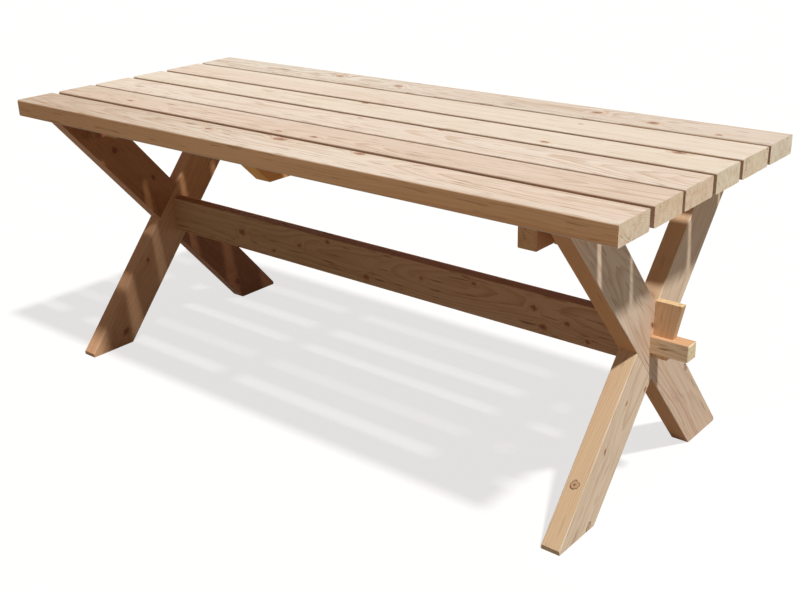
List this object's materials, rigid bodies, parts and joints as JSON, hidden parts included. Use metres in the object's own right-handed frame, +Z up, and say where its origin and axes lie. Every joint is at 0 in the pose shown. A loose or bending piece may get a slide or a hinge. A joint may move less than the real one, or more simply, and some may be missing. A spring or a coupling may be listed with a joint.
{
  "type": "sawbuck table",
  "caption": "Sawbuck dining table: plank top on half-lapped crossed-leg trestles, tied by a stretcher whose through-tenons are locked by removable tusk wedges.",
  "frame": {"origin": "on the floor, under the middle of the top", "axes": "+X along the top to the right-hand trestle, +Y from the front edge to the back edge, +Z up"},
  "size_m": [1.86, 0.784, 0.75],
  "materials": {
    "plank_wood": "planed softwood, unfinished",
    "leg_wood": "planed softwood, unfinished",
    "stretcher_wood": "planed softwood, unfinished",
    "wedge_wood": "planed softwood, unfinished",
    "batten_wood": "planed softwood, unfinished",
    "fastener_steel": "zinc plated"
  },
  "bodies": {
    "table_frame": {"top_plank_1": "plank_wood", "top_plank_2": "plank_wood", "top_plank_3": "plank_wood", "top_plank_4": "plank_wood", "top_plank_5": "plank_wood", "top_plank_6": "plank_wood", "left_batten": "batten_wood", "middle_batten": "batten_wood", "right_batten": "batten_wood", "left_trestle_rail": "batten_wood", "right_trestle_rail": "batten_wood", "left_front_leg": "leg_wood", "left_back_leg": "leg_wood", "right_front_leg": "leg_wood", "right_back_leg": "leg_wood", "stretcher": "stretcher_wood", "left_plank_screws": "fastener_steel", "middle_plank_screws": "fastener_steel", "right_plank_screws": "fastener_steel", "left_rail_screws": "fastener_steel", "left_batten_bolts": "fastener_steel", "left_bolt_washers": "fastener_steel", "left_bolt_nuts": "fastener_steel", "right_rail_screws": "fastener_steel", "right_batten_bolts": "fastener_steel", "right_bolt_washers": "fastener_steel", "right_bolt_nuts": "fastener_steel"},
    "left_wedge": {"left_wedge": "wedge_wood"},
    "right_wedge": {"right_wedge": "wedge_wood"}
  },
  "joints": [
    {"name": "left_wedge_slide", "type": "slide", "parent": "table_frame", "child": "left_wedge", "axis": [0, 0, 1], "range_m": [0, 0.06]},
    {"name": "right_wedge_slide", "type": "slide", "parent": "table_frame", "child": "right_wedge", "axis": [0, 0, 1], "range_m": [0, 0.06]}
  ]
}
